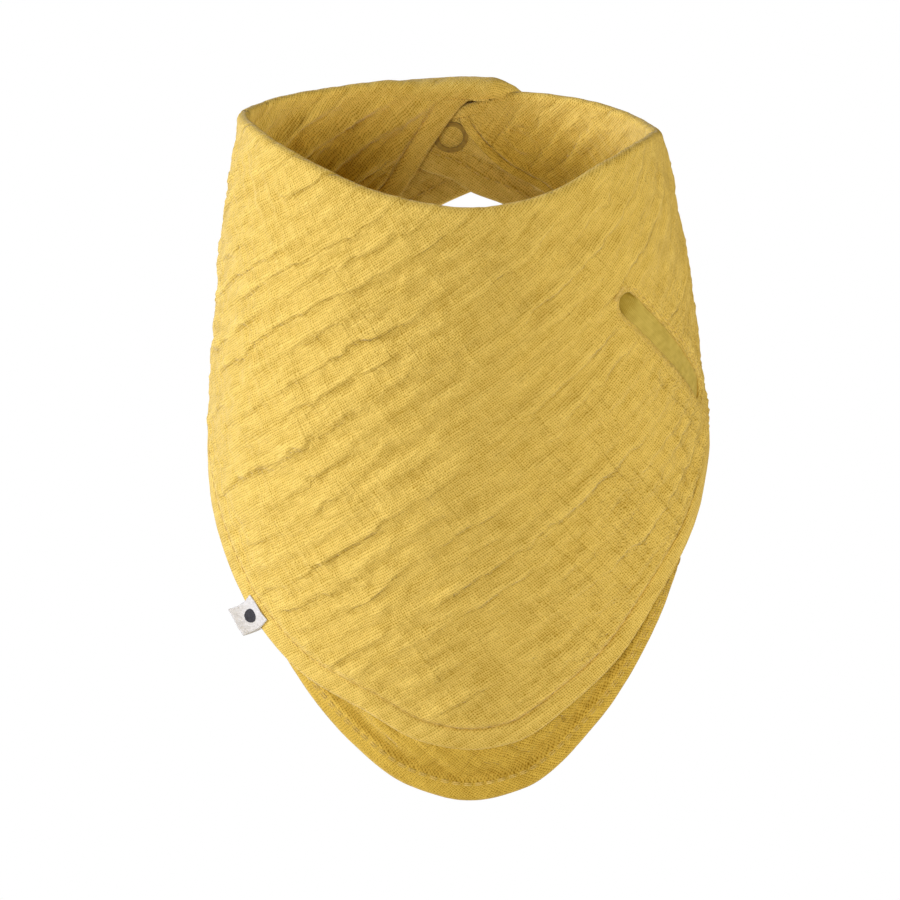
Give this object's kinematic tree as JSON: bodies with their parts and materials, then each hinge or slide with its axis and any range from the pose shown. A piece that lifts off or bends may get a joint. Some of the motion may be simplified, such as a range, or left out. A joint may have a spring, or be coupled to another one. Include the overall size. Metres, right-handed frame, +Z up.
{
  "type": "bandana bib",
  "caption": "Folded muslin bandana bib worn round a baby's neck, with a faced slot, a woven tag and a ring snap at the back.",
  "frame": {"origin": "on the neck's vertical axis, level with the folded neckline at the sides", "axes": "+Z up the wearer's neck, -Y the wearer's front, +X the wearer's left"},
  "size_m": [0.1341, 0.1137, 0.1749],
  "materials": {
    "muslin": "matte crinkled double gauze",
    "facing": "smooth plain weave",
    "thread": "spun sewing thread",
    "label": "damask-woven tag",
    "snap": "satin lacquer"
  },
  "bodies": {
    "root": {"outer_layer": "muslin", "inner_layer": "muslin", "outer_hem_thread": "thread", "inner_hem_thread": "thread", "slot_facing": "facing", "slot_thread": "thread", "slot_bar_tack": "thread", "label": "label", "worn_prong_ring": "snap", "worn_stud": "snap", "spare_prong_ring": "snap", "spare_stud": "snap"},
    "left_tab": {"left_tab": "muslin", "tab_hem_thread": "thread", "socket": "snap", "tab_prong_ring": "snap"}
  },
  "joints": [
    {"name": "left_tab_peel", "type": "hinge", "parent": "root", "child": "left_tab", "pos_m": [-0.02413, 0.04413, -0.003], "axis": [0.0497, -0.117, 0.9919], "range_deg": [0, 100]}
  ]
}
